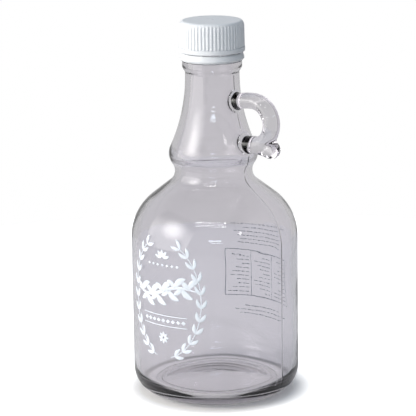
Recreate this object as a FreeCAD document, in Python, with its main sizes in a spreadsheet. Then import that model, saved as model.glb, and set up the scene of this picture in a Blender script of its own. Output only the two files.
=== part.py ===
import FreeCAD, Part
import math
import os

import Sketcher

# Glass jug: a half-litre bottle with a loop handle on its neck, and a ribbed screw cap with its
# tamper-evident band. Z is up, the origin is the centre of the foot, and the handle points to +X.
# Lengths are in millimetres and angles in degrees.
SIZES = {
    # outside of the glass, from the foot up
    "body_radius": 43.0,
    "heel_rounding": 12.5,
    "foot_inner_radius": 27.5,
    "push_up": 3.2,
    "shoulder_start": 81.5,
    "shoulder_rounding": 27.5,
    "slope_angle": 51.8,
    "waist_radius": 19.9,
    "waist_rounding": 7.1,
    "bulge_radius": 22.8,
    "bulge_rounding": 8.7,
    "neck_radius": 13.85,
    "neck_rounding": 88.0,
    "neck_straight": 2.3,
    "collar_overhang": 1.4,
    "collar_height": 4.8,
    "collar_rounding": 1.1,
    # inside of the glass
    "body_wall": 2.5,
    "neck_wall": 3.4,
    "base_thickness": 5.2,
    "floor_dome_radius": 200.0,
    "inner_heel_rounding": 8.0,
    # threaded finish under the cap
    "finish_inset": 0.55,
    "rim_rounding": 0.8,
    "lock_bead_radius": 0.9,
    "lock_bead_height": 3.0,
    "thread_depth": 1.0,
    "thread_width": 1.5,
    "thread_pitch": 3.6,
    "thread_turns": 1.75,
    "thread_drop": 9.6,
    # loop handle and the curled end of its rod
    "loop_radius": 11.2,
    "loop_reach": 37.2,
    "rod_thickness": 8.0,
    "rod_width": 10.2,
    "lower_root_rise": 7.0,
    "upper_arm_bend": 40.0,
    "root_fillet": 2.4,
    "curl_root_radius": 3.8,
    "curl_radius": 4.6,
    "curl_reach": 37.1,
    "curl_drop": 1.4,
    # screw cap
    "cap_height": 15.8,
    "cap_top": 1.5,
    "cap_wall": 1.45,
    "cap_edge_rounding": 1.7,
    "cap_draft": 0.15,
    "cap_foot_height": 2.4,
    "cap_foot_depth": 0.6,
    "rib_count": 55,
    "rib_depth": 0.42,
    "rib_width": 1.0,
    "nub_radius": 0.8,
    "nub_height": 0.2,
    # tamper-evident band
    "band_height": 4.1,
    "band_wall": 1.1,
    "band_flare": 0.9,
    "band_edge": 1.2,
    "hook_depth": 0.85,
    "hook_height": 1.2,
    "bridge_gap": 0.45,
    "bridge_width": 0.8,
    "bridge_count": 10,
    # clearances
    "thread_clearance": 0.5,
    "band_clearance": 0.35,
    "seat_clearance": 0.2,
    "seal_clearance": 0.05,
}
OVERLAP = 0.5    # how far an added shape starts inside what carries it
SAME_POINT = 1e-6
TOUCHING = 1e-3


# heights that the glass's outline sets, read back from it as plain numbers
BULGE_HEIGHT = "(GlassOutline.Constraints.bulge_height / 1 mm)"
COLLAR_TOP = "(GlassOutline.Constraints.collar_top / 1 mm)"
RIM_HEIGHT = "(GlassOutline.Constraints.rim_height / 1 mm)"


def fill_sheet(doc):
    sheet = doc.addObject("Spreadsheet::Sheet", "Sizes")
    for row, (alias, value) in enumerate(SIZES.items(), start=1):
        sheet.set(f"A{row}", alias)
        sheet.set(f"B{row}", str(value))
        sheet.setAlias(f"B{row}", alias)
    doc.recompute()
    return sheet


def new_body(doc, label):
    body = doc.addObject("PartDesign::Body", label)
    body.Label = label
    return body


def plane_of(body, role):
    return next(f for f in body.Origin.OriginFeatures if f.Role == role)


def new_sketch(body, name, role, lift=None):
    """A sketch on one of the body's own origin planes, lifted off it by an expression if one is given."""
    sketch = body.newObject("Sketcher::SketchObject", name)
    sketch.AttachmentSupport = [(plane_of(body, role), "")]
    sketch.MapMode = "FlatFace"
    if lift:
        sketch.setExpression("AttachmentOffset.Base.z", lift)
    return sketch


def line(start, end):
    return Part.LineSegment(FreeCAD.Vector(*start, 0), FreeCAD.Vector(*end, 0))


def arc(centre, radius, first, last):
    """The shorter arc between two directions, given in radians from the sketch's first axis."""
    turn = (last - first) % (2 * math.pi)
    if turn > math.pi + SAME_POINT:
        first, last = last, first
    circle = Part.Circle(FreeCAD.Vector(*centre, 0), FreeCAD.Vector(0, 0, 1), radius)
    return Part.ArcOfCircle(circle, first, last)


def shared_ends(sketch, one, other):
    """Which end of each piece, 1 or 2, lies where the two pieces meet."""
    pairs = [(a, b) for a in (1, 2) for b in (1, 2)]
    return min(pairs, key=lambda p: sketch.getPoint(one, p[0]).distanceToPoint(sketch.getPoint(other, p[1])))


def chain(sketch, pieces, smooth):
    """Adds a closed chain of lines and arcs. The names of the pieces that run on smoothly into the
    next one are in smooth; the others only share a point with it. Returns name to index."""
    index = {name: sketch.addGeometry(shape, False) for name, shape in pieces.items()}
    names = list(pieces)
    for name, follower in zip(names, names[1:] + names[:1]):
        mine, its = shared_ends(sketch, index[name], index[follower])
        kind = "Tangent" if name in smooth else "Coincident"
        sketch.addConstraint(Sketcher.Constraint(kind, index[name], mine, index[follower], its))
    for name, shape in pieces.items():
        if isinstance(shape, Part.LineSegment):
            level(sketch, index[name], shape)
    return index


def level(sketch, index, shape):
    """Holds a line that is drawn upright or level as it is."""
    run = shape.EndPoint - shape.StartPoint
    if abs(run.x) < SAME_POINT:
        sketch.addConstraint(Sketcher.Constraint("Vertical", index))
    elif abs(run.y) < SAME_POINT:
        sketch.addConstraint(Sketcher.Constraint("Horizontal", index))


def drive(sketch, kind, where, expression):
    """Adds a dimension and binds it to the sheet. where holds the piece and point indices."""
    value = measured(sketch, kind, where)
    index = sketch.addConstraint(Sketcher.Constraint(kind, *where, value))
    sketch.setExpression(f"Constraints[{index}]", expression)


def measured(sketch, kind, where):
    """What a dimension reads on the sketch as drawn, so that adding it moves nothing."""
    if kind == "Radius":
        return sketch.Geometry[where[0]].Radius
    if kind == "Angle":
        run = sketch.Geometry[where[0]].EndPoint - sketch.Geometry[where[0]].StartPoint
        return math.atan2(run.y, run.x)
    points = [sketch.getPoint(*where[i:i + 2]) for i in range(0, len(where), 2)]
    run = points[1] - points[0] if len(points) == 2 else points[0]
    return {"DistanceX": run.x, "DistanceY": run.y, "Distance": run.Length}[kind]


def note(sketch, point, name):
    """A reference height that other sketches and placements read."""
    height = sketch.getPoint(*point).y
    index = sketch.addConstraint(Sketcher.Constraint("DistanceY", -1, 1, *point, height))
    sketch.renameConstraint(index, name)
    sketch.setDriving(index, False)


def revolve(body, kind, sketch, name):
    feature = body.newObject(kind, name)
    feature.Profile = sketch
    feature.ReferenceAxis = (sketch, ["V_Axis"])
    feature.Angle = 360
    return feature


def flow(s, wall, throat_wall):
    """The tangent run from the body's wall to the neck: shoulder, slope, waist, bulge and neck, set
    in from the outside by the walls. Returns the pieces and where the neck's arc ends."""
    lean = math.radians(s.slope_angle)
    body = s.body_radius - wall
    shoulder = s.shoulder_rounding - wall
    waist = s.waist_rounding + throat_wall
    bulge = s.bulge_rounding - throat_wall
    neck = s.neck_rounding + throat_wall
    shoulder_centre = (body - shoulder, s.shoulder_start)
    slope_start = step(shoulder_centre, shoulder, lean)
    slope_end_radius = s.waist_radius - throat_wall + waist * (1 - math.cos(lean))
    slope_length = (slope_start[0] - slope_end_radius) / math.sin(lean)
    slope_end = (slope_end_radius, slope_start[1] + slope_length * math.cos(lean))
    waist_centre = (s.waist_radius + s.waist_rounding, slope_end[1] + waist * math.sin(lean))
    bulge_centre = tangent_above(waist_centre, waist, s.bulge_radius - s.bulge_rounding, bulge)
    neck_centre = tangent_above(bulge_centre, bulge, s.neck_radius + s.neck_rounding, neck)
    to_bulge = direction(waist_centre, bulge_centre)
    to_neck = direction(bulge_centre, neck_centre)
    pieces = {
        "shoulder": arc(shoulder_centre, shoulder, 0, lean),
        "slope": line(slope_start, slope_end),
        "waist": arc(waist_centre, waist, lean + math.pi, to_bulge),
        "bulge": arc(bulge_centre, bulge, to_bulge + math.pi, to_neck),
        "neck": arc(neck_centre, neck, to_neck + math.pi, math.pi),
    }
    return pieces, neck_centre[1]


def tangent_above(centre, radius, other_x, other_radius):
    """The centre, at other_x and higher up, of a circle that touches the first one from outside."""
    rise = math.sqrt((radius + other_radius) ** 2 - (other_x - centre[0]) ** 2)
    return other_x, centre[1] + rise


def step(start, length, turn):
    """The point a length away from start in a direction given in radians."""
    return start[0] + length * math.cos(turn), start[1] + length * math.sin(turn)


def direction(start, end):
    return math.atan2(end[1] - start[1], end[0] - start[0])


def drive_flow(sketch, index, wall, throat_wall):
    """Binds the run from body to neck. The walls are expressions, 0 on the outside."""
    drive(sketch, "DistanceX", (index["wall"], 2), f"Sizes.body_radius - {wall}")
    drive(sketch, "DistanceY", (index["wall"], 2), "Sizes.shoulder_start")
    drive(sketch, "Radius", (index["shoulder"],), f"Sizes.shoulder_rounding - {wall}")
    drive(sketch, "Angle", (index["slope"],), "(90 + Sizes.slope_angle) * 1 deg")
    drive(sketch, "Radius", (index["waist"],), f"Sizes.waist_rounding + {throat_wall}")
    drive(sketch, "DistanceX", (index["waist"], 3), "Sizes.waist_radius + Sizes.waist_rounding")
    drive(sketch, "Radius", (index["bulge"],), f"Sizes.bulge_rounding - {throat_wall}")
    drive(sketch, "DistanceX", (index["bulge"], 3), "Sizes.bulge_radius - Sizes.bulge_rounding")
    drive(sketch, "Radius", (index["neck"],), f"Sizes.neck_rounding + {throat_wall}")
    drive(sketch, "DistanceX", (index["throat"], 1), f"Sizes.neck_radius - {throat_wall}")


FINISH = "(Sizes.neck_radius - Sizes.finish_inset)"
FLOWING = ("wall", "shoulder", "slope", "waist", "bulge", "neck")
CAP_STACK = ("Sizes.seat_clearance + Sizes.band_height + Sizes.bridge_gap + Sizes.cap_height"
             " - Sizes.cap_top - Sizes.seal_clearance")


def finish_radius(s):
    return s.neck_radius - s.finish_inset


def finish_height(s):
    """From the collar's top to the rim: the band, the slit and the cap's inside stand on it."""
    return (s.seat_clearance + s.band_height + s.bridge_gap + s.cap_height
            - s.cap_top - s.seal_clearance)


def outside_pieces(s):
    """The glass's outline from the centre of the base, out over the foot and up to the rim."""
    dish = (s.foot_inner_radius ** 2 + s.push_up ** 2) / (2 * s.push_up)
    dish_centre = (0, s.push_up - dish)
    foot_end = (s.body_radius - s.heel_rounding, 0)
    upper, neck_end = flow(s, 0, 0)
    under = neck_end + s.neck_straight
    collar = s.neck_radius + s.collar_overhang
    finish = finish_radius(s)
    edge_centre = (collar - s.collar_rounding, under + s.collar_rounding)
    top = under + s.collar_height
    bead = top + s.lock_bead_height
    rim = top + finish_height(s)
    rim_centre = (finish - s.rim_rounding, rim - s.rim_rounding)
    quarter = math.pi / 2
    pieces = {
        "dish": arc(dish_centre, dish, quarter, direction(dish_centre, (s.foot_inner_radius, 0))),
        "foot": line((s.foot_inner_radius, 0), foot_end),
        "heel": arc((foot_end[0], s.heel_rounding), s.heel_rounding, -quarter, 0),
        "wall": line((s.body_radius, s.heel_rounding), (s.body_radius, s.shoulder_start)),
    }
    pieces.update(upper)
    pieces.update({
        "throat": line((s.neck_radius, neck_end), (s.neck_radius, under)),
        "collar_under": line((s.neck_radius, under), (edge_centre[0], under)),
        "collar_edge": arc(edge_centre, s.collar_rounding, -quarter, 0),
        "collar_side": line((collar, edge_centre[1]), (collar, top)),
        "collar_top": line((collar, top), (finish, top)),
        "finish_low": line((finish, top), (finish, bead - s.lock_bead_radius)),
        "lock_bead": arc((finish, bead), s.lock_bead_radius, -quarter, quarter),
        "finish_high": line((finish, bead + s.lock_bead_radius), (finish, rim_centre[1])),
        "rim_edge": arc(rim_centre, s.rim_rounding, 0, quarter),
        "rim": line((rim_centre[0], rim), (0, rim)),
        "axis": line((0, rim), (0, s.push_up)),
    })
    return pieces


def outside_sketch(body, s):
    sketch = new_sketch(body, "GlassOutline", "YZ_Plane")
    smooth = FLOWING + ("foot", "heel", "collar_under", "collar_edge", "finish_high", "rim_edge")
    index = chain(sketch, outside_pieces(s), smooth)
    sketch.addConstraint(Sketcher.Constraint("PointOnObject", index["axis"], 2, -2))
    sketch.addConstraint(Sketcher.Constraint("PointOnObject", index["dish"], 3, -2))
    sketch.addConstraint(Sketcher.Constraint("PointOnObject", index["foot"], 1, -1))
    drive(sketch, "DistanceY", (index["axis"], 2), "Sizes.push_up")
    drive(sketch, "DistanceX", (index["foot"], 1), "Sizes.foot_inner_radius")
    drive(sketch, "Radius", (index["heel"],), "Sizes.heel_rounding")
    drive_flow(sketch, index, "0", "0")
    drive(sketch, "DistanceY", (index["throat"], 1, index["throat"], 2), "Sizes.neck_straight")
    drive(sketch, "DistanceX", (index["collar_side"], 1), "Sizes.neck_radius + Sizes.collar_overhang")
    drive(sketch, "Radius", (index["collar_edge"],), "Sizes.collar_rounding")
    drive(sketch, "DistanceY", (index["throat"], 2, index["collar_side"], 2), "Sizes.collar_height")
    drive(sketch, "DistanceX", (index["finish_low"], 1), FINISH)
    drive(sketch, "Radius", (index["lock_bead"],), "Sizes.lock_bead_radius")
    drive(sketch, "DistanceX", (index["lock_bead"], 3), FINISH)
    drive(sketch, "DistanceY", (index["finish_low"], 1, index["lock_bead"], 3), "Sizes.lock_bead_height")
    drive(sketch, "DistanceX", (index["finish_high"], 1), FINISH)
    drive(sketch, "Radius", (index["rim_edge"],), "Sizes.rim_rounding")
    drive(sketch, "DistanceY", (index["finish_low"], 1, index["rim"], 1), CAP_STACK)
    note(sketch, (index["bulge"], 3), "bulge_height")
    note(sketch, (index["collar_side"], 2), "collar_top")
    note(sketch, (index["rim"], 1), "rim_height")
    return sketch


def cavity_sketch(body, s):
    """The inside of the glass, from the domed floor up through the mouth."""
    inner = s.body_radius - s.body_wall
    dome_centre = (0, s.push_up + s.base_thickness - s.floor_dome_radius)
    heel_x = inner - s.inner_heel_rounding
    heel_centre = tangent_above(dome_centre, s.floor_dome_radius, heel_x, s.inner_heel_rounding)
    upper, neck_end = flow(s, s.body_wall, s.neck_wall)
    outer_neck_end = flow(s, 0, 0)[1]
    mouth = outer_neck_end + s.neck_straight + s.collar_height + finish_height(s) + OVERLAP
    bore = s.neck_radius - s.neck_wall
    to_heel = direction(dome_centre, heel_centre)
    pieces = {
        "floor": arc(dome_centre, s.floor_dome_radius, math.pi / 2, to_heel),
        "inner_heel": arc(heel_centre, s.inner_heel_rounding, to_heel + math.pi, 0),
        "wall": line((inner, heel_centre[1]), (inner, s.shoulder_start)),
    }
    pieces.update(upper)
    pieces.update({
        "throat": line((bore, neck_end), (bore, mouth)),
        "mouth": line((bore, mouth), (0, mouth)),
        "axis": line((0, mouth), (0, s.push_up + s.base_thickness)),
    })
    sketch = new_sketch(body, "CavityOutline", "YZ_Plane")
    index = chain(sketch, pieces, FLOWING + ("floor", "inner_heel"))
    sketch.addConstraint(Sketcher.Constraint("PointOnObject", index["axis"], 2, -2))
    sketch.addConstraint(Sketcher.Constraint("PointOnObject", index["floor"], 3, -2))
    drive(sketch, "DistanceY", (index["axis"], 2), "Sizes.push_up + Sizes.base_thickness")
    drive(sketch, "Radius", (index["floor"],), "Sizes.floor_dome_radius")
    drive(sketch, "Radius", (index["inner_heel"],), "Sizes.inner_heel_rounding")
    drive_flow(sketch, index, "Sizes.body_wall", "Sizes.neck_wall")
    drive(sketch, "DistanceY", (index["axis"], 1), f"{RIM_HEIGHT} + {OVERLAP}")
    return sketch


def handle_path(body, s, low):
    """The rod's centre line: the lower arm, the loop, and the upper arm bending down to the neck."""
    centre_x = s.loop_reach - s.loop_radius
    start_x = s.waist_radius - s.neck_wall
    top = low + 2 * s.loop_radius
    quarter = math.pi / 2
    end_x = s.neck_radius - s.neck_wall / 2
    end_turn = math.asin((centre_x - end_x) / s.upper_arm_bend)
    sketch = new_sketch(body, "HandlePath", "XZ_Plane")
    lower = sketch.addGeometry(line((start_x, low), (centre_x, low)), False)
    loop = sketch.addGeometry(arc((centre_x, low + s.loop_radius), s.loop_radius, -quarter, quarter), False)
    bend = arc((centre_x, top - s.upper_arm_bend), s.upper_arm_bend, quarter, quarter + end_turn)
    upper = sketch.addGeometry(bend, False)
    sketch.addConstraint(Sketcher.Constraint("Horizontal", lower))
    sketch.addConstraint(Sketcher.Constraint("Tangent", lower, 2, loop, 1))
    sketch.addConstraint(Sketcher.Constraint("Tangent", loop, 2, upper, 1))
    drive(sketch, "DistanceX", (lower, 1), "Sizes.waist_radius - Sizes.neck_wall")
    drive(sketch, "DistanceY", (lower, 1), f"{BULGE_HEIGHT} + Sizes.lower_root_rise")
    drive(sketch, "DistanceX", (loop, 3), "Sizes.loop_reach - Sizes.loop_radius")
    drive(sketch, "Radius", (loop,), "Sizes.loop_radius")
    drive(sketch, "DistanceX", (upper, 3), "Sizes.loop_reach - Sizes.loop_radius")
    drive(sketch, "Radius", (upper,), "Sizes.upper_arm_bend")
    drive(sketch, "DistanceX", (upper, 2), "Sizes.neck_radius - Sizes.neck_wall / 2")
    return sketch


def rod_section(body, s, low):
    """The rod's oval section, upright where the lower arm starts inside the glass."""
    sketch = new_sketch(body, "RodSection", "YZ_Plane", "Sizes.waist_radius - Sizes.neck_wall")
    oval = sketch.addGeometry(Part.Ellipse(
        FreeCAD.Vector(s.rod_width / 2, low, 0),
        FreeCAD.Vector(0, low + s.rod_thickness / 2, 0),
        FreeCAD.Vector(0, low, 0)), False)
    sketch.exposeInternalGeometry(oval)
    across, upright = oval + 1, oval + 2
    sketch.addConstraint(Sketcher.Constraint("Horizontal", across))
    sketch.addConstraint(Sketcher.Constraint("PointOnObject", oval, 3, -2))
    drive(sketch, "DistanceY", (oval, 3), f"{BULGE_HEIGHT} + Sizes.lower_root_rise")
    drive(sketch, "Distance", (across, 1, across, 2), "Sizes.rod_width")
    drive(sketch, "Distance", (upright, 1, upright, 2), "Sizes.rod_thickness")
    return sketch


def curl_sketch(body, s, low):
    """Half of the rod's curled end, a taper with a round tip, about its own centre line."""
    root = (s.loop_reach - s.loop_radius, low)
    ball = (s.curl_reach, low - s.curl_drop)
    lean = direction(root, ball)
    length = math.hypot(ball[0] - root[0], ball[1] - root[1])
    reach = math.hypot(length, s.curl_root_radius)
    spread = math.asin(s.curl_radius / reach) - math.atan2(s.curl_root_radius, length)
    side = math.pi / 2 + lean + spread
    flank_start = step(ball, s.curl_radius, side)
    root_side = step(root, s.curl_root_radius, lean + math.pi / 2)
    pieces = {
        "middle": line(root, step(ball, s.curl_radius, lean)),
        "ball": arc(ball, s.curl_radius, lean, side),
        "flank": line(flank_start, root_side),
        "end": line(root_side, root),
    }
    sketch = new_sketch(body, "CurlOutline", "XZ_Plane")
    index = chain(sketch, pieces, ("ball",))
    sketch.addConstraint(Sketcher.Constraint("PointOnObject", index["ball"], 3, index["middle"]))
    sketch.addConstraint(Sketcher.Constraint("Perpendicular", index["middle"], index["end"]))
    root_height = f"{BULGE_HEIGHT} + Sizes.lower_root_rise"
    drive(sketch, "DistanceX", (index["middle"], 1), "Sizes.loop_reach - Sizes.loop_radius")
    drive(sketch, "DistanceY", (index["middle"], 1), root_height)
    drive(sketch, "DistanceX", (index["ball"], 3), "Sizes.curl_reach")
    drive(sketch, "DistanceY", (index["ball"], 3), f"{root_height} - Sizes.curl_drop")
    drive(sketch, "Radius", (index["ball"],), "Sizes.curl_radius")
    drive(sketch, "Distance", (index["end"], 1, index["end"], 2), "Sizes.curl_root_radius")
    return sketch


def thread_sketch(body, s, name, inward, wall_radius, wall_expression, middle, middle_expression):
    """A thread's section on a wall: wide where it grows out of it, narrower at the crest."""
    sign = -1 if inward else 1
    foot = wall_radius - sign * OVERLAP
    crest = wall_radius + sign * s.thread_depth
    half = s.thread_width / 2
    crest_half = half / 2
    corners = [(foot, middle - half), (crest, middle - crest_half), (crest, middle + crest_half),
               (foot, middle + half)]
    sketch = new_sketch(body, name, "YZ_Plane")
    sides = list(zip(corners, corners[1:] + corners[:1]))
    index = chain(sketch, {f"side{n}": line(*side) for n, side in enumerate(sides)}, ())
    wall_side, crest_side = index["side3"], index["side1"]
    grow = f"{'-' if inward else '+'} Sizes.thread_depth"
    back = f"{'+' if inward else '-'} {OVERLAP}"
    drive(sketch, "DistanceX", (wall_side, 2), f"{wall_expression} {back}")
    drive(sketch, "DistanceY", (wall_side, 2), f"{middle_expression} - Sizes.thread_width / 2")
    drive(sketch, "DistanceY", (wall_side, 2, wall_side, 1), "Sizes.thread_width")
    drive(sketch, "DistanceX", (crest_side, 1), f"{wall_expression} {grow}")
    drive(sketch, "DistanceY", (crest_side, 1, crest_side, 2), "Sizes.thread_width / 2")
    drive(sketch, "DistanceY", (crest_side, 1), f"{middle_expression} - Sizes.thread_width / 4")
    return sketch


def add_thread(body, sketch, name):
    thread = body.newObject("PartDesign::AdditiveHelix", name)
    thread.Profile = sketch
    thread.ReferenceAxis = (sketch, ["V_Axis"])
    thread.Mode = 1
    thread.setExpression("Pitch", "Sizes.thread_pitch * 1 mm")
    thread.setExpression("Turns", "Sizes.thread_turns")


def root_edges(shape, glass, rod):
    """The edges where the rod's surface meets the outside of the glass."""
    names = []
    for number, edge in enumerate(shape.Edges, start=1):
        span = edge.LastParameter - edge.FirstParameter
        points = [Part.Vertex(edge.valueAt(edge.FirstParameter + span * part)) for part in (0.2, 0.5, 0.8)]
        on_both = all(point.distToShape(other.Shells[0])[0] < TOUCHING
                      for point in points for other in (glass, rod))
        if on_both:
            names.append(f"Edge{number}")
    return names


def make_jug(doc, s):
    """The glass in one piece: the blown body, its loop handle, the threaded finish and the cavity."""
    body = new_body(doc, "jug_glass")
    outline = outside_sketch(body, s)
    glass = revolve(body, "PartDesign::Revolution", outline, "Outside")
    doc.recompute()
    low = outline.getDatum("bulge_height").Value + s.lower_root_rise
    path = handle_path(body, s, low)
    section = rod_section(body, s, low)
    rod = body.newObject("PartDesign::AdditivePipe", "Handle")
    rod.Profile = section
    rod.Spine = (path, ["Edge1", "Edge2", "Edge3"])
    doc.recompute()
    fillet = body.newObject("PartDesign::Fillet", "HandleRoots")
    lone_rod = rod.AddSubShape.copy()
    lone_rod.Placement = rod.Placement.multiply(lone_rod.Placement)
    fillet.Base = (rod, root_edges(rod.Shape, glass.Shape, lone_rod))
    fillet.setExpression("Radius", "Sizes.root_fillet")
    doc.recompute()
    revolve_curl(body, curl_sketch(body, s, low))
    rim = outline.getDatum("rim_height").Value
    thread_middle = rim - s.thread_drop
    thread = thread_sketch(body, s, "GlassThreadSection", False, finish_radius(s), FINISH, thread_middle,
                           f"{RIM_HEIGHT} - Sizes.thread_drop")
    add_thread(body, thread, "GlassThread")
    doc.recompute()
    revolve(body, "PartDesign::Groove", cavity_sketch(body, s), "Cavity")
    doc.recompute()
    return body


def revolve_curl(body, sketch):
    curl = body.newObject("PartDesign::Revolution", "Curl")
    curl.Profile = sketch
    curl.ReferenceAxis = (sketch, ["Edge1"])
    curl.Angle = 360


CAP_INNER = f"({FINISH} + Sizes.thread_depth + Sizes.thread_clearance)"
CAP_CORE = f"({CAP_INNER} + Sizes.cap_wall)"


def cap_inner_radius(s):
    return finish_radius(s) + s.thread_depth + s.thread_clearance


def cap_sketch(body, s):
    """The cap's section: flat top, rounded edge, drafted skirt and a foot bead, hollow underneath."""
    inner = cap_inner_radius(s)
    core = inner + s.cap_wall
    foot = core + s.cap_foot_depth
    top_radius = core - s.cap_draft
    edge_centre = (top_radius - s.cap_edge_rounding, s.cap_height - s.cap_edge_rounding)
    ceiling = s.cap_height - s.cap_top
    foot_round = s.cap_foot_depth
    corners = [(0, ceiling), (inner, ceiling), (inner, 0), (foot - foot_round, 0)]
    pieces = {
        "ceiling": line(corners[0], corners[1]),
        "inside": line(corners[1], corners[2]),
        "rest": line(corners[2], corners[3]),
        "foot_edge": arc((foot - foot_round, foot_round), foot_round, -math.pi / 2, 0),
        "foot_side": line((foot, foot_round), (foot, s.cap_foot_height)),
        "foot_top": line((foot, s.cap_foot_height), (core, s.cap_foot_height)),
        "skirt": line((core, s.cap_foot_height), (top_radius, edge_centre[1])),
        "edge": arc(edge_centre, s.cap_edge_rounding, 0, math.pi / 2),
        "top": line((edge_centre[0], s.cap_height), (0, s.cap_height)),
        "axis": line((0, s.cap_height), (0, ceiling)),
    }
    sketch = new_sketch(body, "CapOutline", "YZ_Plane")
    index = chain(sketch, pieces, ("rest", "foot_edge", "edge"))
    sketch.addConstraint(Sketcher.Constraint("PointOnObject", index["axis"], 2, -2))
    sketch.addConstraint(Sketcher.Constraint("PointOnObject", index["rest"], 1, -1))
    drive(sketch, "DistanceY", (index["ceiling"], 1), "Sizes.cap_height - Sizes.cap_top")
    drive(sketch, "DistanceX", (index["inside"], 2), CAP_INNER)
    drive(sketch, "Radius", (index["foot_edge"],), "Sizes.cap_foot_depth")
    drive(sketch, "DistanceX", (index["foot_side"], 2), f"{CAP_CORE} + Sizes.cap_foot_depth")
    drive(sketch, "DistanceY", (index["foot_side"], 2), "Sizes.cap_foot_height")
    drive(sketch, "DistanceX", (index["skirt"], 1), CAP_CORE)
    drive(sketch, "DistanceX", (index["skirt"], 2), f"{CAP_CORE} - Sizes.cap_draft")
    drive(sketch, "Radius", (index["edge"],), "Sizes.cap_edge_rounding")
    drive(sketch, "DistanceY", (index["skirt"], 2), "Sizes.cap_height - Sizes.cap_edge_rounding")
    drive(sketch, "DistanceY", (index["top"], 1), "Sizes.cap_height")
    return sketch


def add_ribs(body, s):
    """Grip ribs between the foot bead and the rounded edge, one drawn and the rest patterned."""
    core = cap_inner_radius(s) + s.cap_wall
    start = core - OVERLAP
    tip = core + s.rib_depth
    sketch = rectangle(body, "RibSection", "Sizes.cap_foot_height", (start, tip), s.rib_width,
                       "Sizes.rib_width")
    drive(sketch, "DistanceX", (0, 1), f"{CAP_CORE} - {OVERLAP}")
    drive(sketch, "DistanceX", (0, 2), f"{CAP_CORE} + Sizes.rib_depth")
    rib = pad(body, sketch, "Rib", "Sizes.cap_height - Sizes.cap_foot_height - Sizes.cap_edge_rounding")
    pattern(body, rib, "Ribs", "Sizes.rib_count")


def rectangle(body, name, lift, across, width, width_expression):
    """A rectangle about the sketch's first axis, between two distances from the centre."""
    sketch = new_sketch(body, name, "XY_Plane", lift)
    half = width / 2
    corners = [(across[0], -half), (across[1], -half), (across[1], half), (across[0], half)]
    sides = list(zip(corners, corners[1:] + corners[:1]))
    chain(sketch, {f"side{n}": line(*side) for n, side in enumerate(sides)}, ())
    drive(sketch, "DistanceY", (1, 1), f"-{width_expression} / 2")
    drive(sketch, "DistanceY", (1, 1, 1, 2), width_expression)
    return sketch


def pad(body, sketch, name, length):
    feature = body.newObject("PartDesign::Pad", name)
    feature.Profile = sketch
    feature.setExpression("Length", length)
    return feature


def pattern(body, feature, name, count):
    """Repeats a feature about the body's upright axis, a full turn round."""
    turns = body.newObject("PartDesign::PolarPattern", name)
    turns.Originals = [feature]
    turns.Axis = (plane_of(body, "Z_Axis"), [""])
    turns.Angle = 360
    turns.setExpression("Occurrences", count)
    body.Tip = turns


def add_nub(body, s):
    """The small moulding nub in the middle of the cap's top."""
    sketch = new_sketch(body, "NubOutline", "XY_Plane", f"Sizes.cap_height - {OVERLAP}")
    sketch.addGeometry(Part.Circle(FreeCAD.Vector(0, 0, 0), FreeCAD.Vector(0, 0, 1), s.nub_radius), False)
    sketch.addConstraint(Sketcher.Constraint("Coincident", 0, 3, -1, 1))
    drive(sketch, "Radius", (0,), "Sizes.nub_radius")
    pad(body, sketch, "Nub", f"Sizes.nub_height + {OVERLAP}")


def make_cap(doc, s):
    """The screw cap, which seats on the rim and carries a thread between the glass thread's turns."""
    body = new_body(doc, "screw_cap")
    rise = "Sizes.cap_top + Sizes.seal_clearance - Sizes.cap_height"
    body.setExpression("Placement.Base.z", f"{RIM_HEIGHT} + {rise}")
    revolve(body, "PartDesign::Revolution", cap_sketch(body, s), "Shell")
    doc.recompute()
    drop = s.cap_height - s.cap_top - s.seal_clearance - s.thread_drop
    middle = drop + s.thread_pitch / 2
    middle_expression = ("Sizes.cap_height - Sizes.cap_top - Sizes.seal_clearance - Sizes.thread_drop"
                         " + Sizes.thread_pitch / 2")
    thread = thread_sketch(body, s, "CapThreadSection", True, cap_inner_radius(s), CAP_INNER, middle,
                           middle_expression)
    add_thread(body, thread, "CapThread")
    doc.recompute()
    add_nub(body, s)
    doc.recompute()
    add_ribs(body, s)
    doc.recompute()
    return body


BAND_INNER = f"({FINISH} + Sizes.lock_bead_radius + Sizes.band_clearance)"


def band_inner_radius(s):
    return finish_radius(s) + s.lock_bead_radius + s.band_clearance


def band_sketch(body, s):
    """The band's section: a straight top, a flare to a rounded foot, and a hook inside the foot."""
    inner = band_inner_radius(s)
    outer = inner + s.band_wall
    flare = outer + s.band_flare
    hook = inner - s.hook_depth
    edge = s.band_edge
    pieces = {
        "top": line((inner, s.band_height), (outer, s.band_height)),
        "side": line((outer, s.band_height), (flare, edge)),
        "edge": line((flare, edge), (outer, 0)),
        "foot": line((outer, 0), (hook, 0)),
        "hook": line((hook, 0), (hook, s.hook_height)),
        "hook_top": line((hook, s.hook_height), (inner, s.hook_height)),
        "inside": line((inner, s.hook_height), (inner, s.band_height)),
    }
    sketch = new_sketch(body, "BandOutline", "YZ_Plane")
    index = chain(sketch, pieces, ())
    sketch.addConstraint(Sketcher.Constraint("PointOnObject", index["foot"], 1, -1))
    drive(sketch, "DistanceX", (index["top"], 1), BAND_INNER)
    drive(sketch, "DistanceX", (index["top"], 2), f"{BAND_INNER} + Sizes.band_wall")
    drive(sketch, "DistanceY", (index["top"], 1), "Sizes.band_height")
    drive(sketch, "DistanceX", (index["side"], 2), f"{BAND_INNER} + Sizes.band_wall + Sizes.band_flare")
    drive(sketch, "DistanceY", (index["side"], 2), "Sizes.band_edge")
    drive(sketch, "DistanceX", (index["foot"], 1), f"{BAND_INNER} + Sizes.band_wall")
    drive(sketch, "DistanceX", (index["hook"], 1), f"{BAND_INNER} - Sizes.hook_depth")
    drive(sketch, "DistanceY", (index["hook"], 2), "Sizes.hook_height")
    return sketch


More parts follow.
